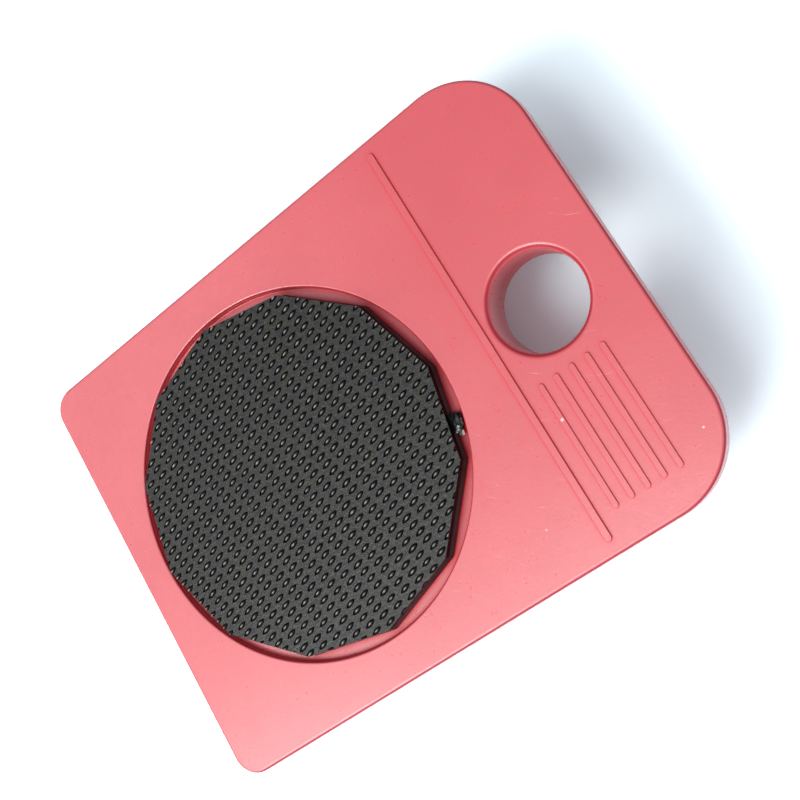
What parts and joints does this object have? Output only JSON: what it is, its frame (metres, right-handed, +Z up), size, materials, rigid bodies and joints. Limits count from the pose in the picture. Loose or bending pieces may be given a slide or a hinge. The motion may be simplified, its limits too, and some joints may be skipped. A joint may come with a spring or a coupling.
{
  "type": "furniture moving roller",
  "caption": "Flat plastic roller with a finger hole, fixed wheels underneath and a turning disc with an embossed rubber pad, for moving furniture.",
  "frame": {"origin": "on the floor, under the middle of the plate's outline", "axes": "+X along the plate to the grip end with the finger hole, +Y across it, +Z up through the pad"},
  "size_m": [0.1, 0.0764, 0.0257],
  "materials": {
    "red_plastic": "satin moulded",
    "black_plastic": "satin moulded",
    "rubber": "embossed",
    "wheel_nylon": "satin",
    "steel": "plated"
  },
  "bodies": {
    "plate": {"top_plate": "red_plastic", "wheel_carrier": "red_plastic", "axle_front_left": "steel", "axle_front_right": "steel", "axle_rear_left": "steel", "axle_rear_right": "steel", "carrier_screw_front_left": "steel", "carrier_screw_front_right": "steel", "carrier_screw_middle_left": "steel", "carrier_screw_middle_right": "steel", "carrier_screw_rear_left": "steel", "carrier_screw_rear_right": "steel"},
    "turntable": {"turntable_disc": "black_plastic", "grip_pad": "rubber", "pivot_washer": "steel", "pivot_screw": "steel"},
    "front_left_wheel": {"wheel_front_left": "wheel_nylon"},
    "front_right_wheel": {"wheel_front_right": "wheel_nylon"},
    "rear_left_wheel": {"wheel_rear_left": "wheel_nylon"},
    "rear_right_wheel": {"wheel_rear_right": "wheel_nylon"}
  },
  "joints": [
    {"name": "turntable_spin", "type": "hinge", "parent": "plate", "child": "turntable", "pos_m": [-0.01327, 0, 0.0225], "axis": [0, 0, 1], "continuous": true},
    {"name": "front_left_roll", "type": "hinge", "parent": "plate", "child": "front_left_wheel", "pos_m": [0.0102, 0.0263, 0.0085], "axis": [0, 1, 0], "continuous": true},
    {"name": "front_right_roll", "type": "hinge", "parent": "plate", "child": "front_right_wheel", "pos_m": [0.0102, -0.0263, 0.0085], "axis": [0, 1, 0], "continuous": true},
    {"name": "rear_left_roll", "type": "hinge", "parent": "plate", "child": "rear_left_wheel", "pos_m": [-0.03485, 0.0263, 0.0085], "axis": [0, 1, 0], "continuous": true},
    {"name": "rear_right_roll", "type": "hinge", "parent": "plate", "child": "rear_right_wheel", "pos_m": [-0.03485, -0.0263, 0.0085], "axis": [0, 1, 0], "continuous": true}
  ]
}
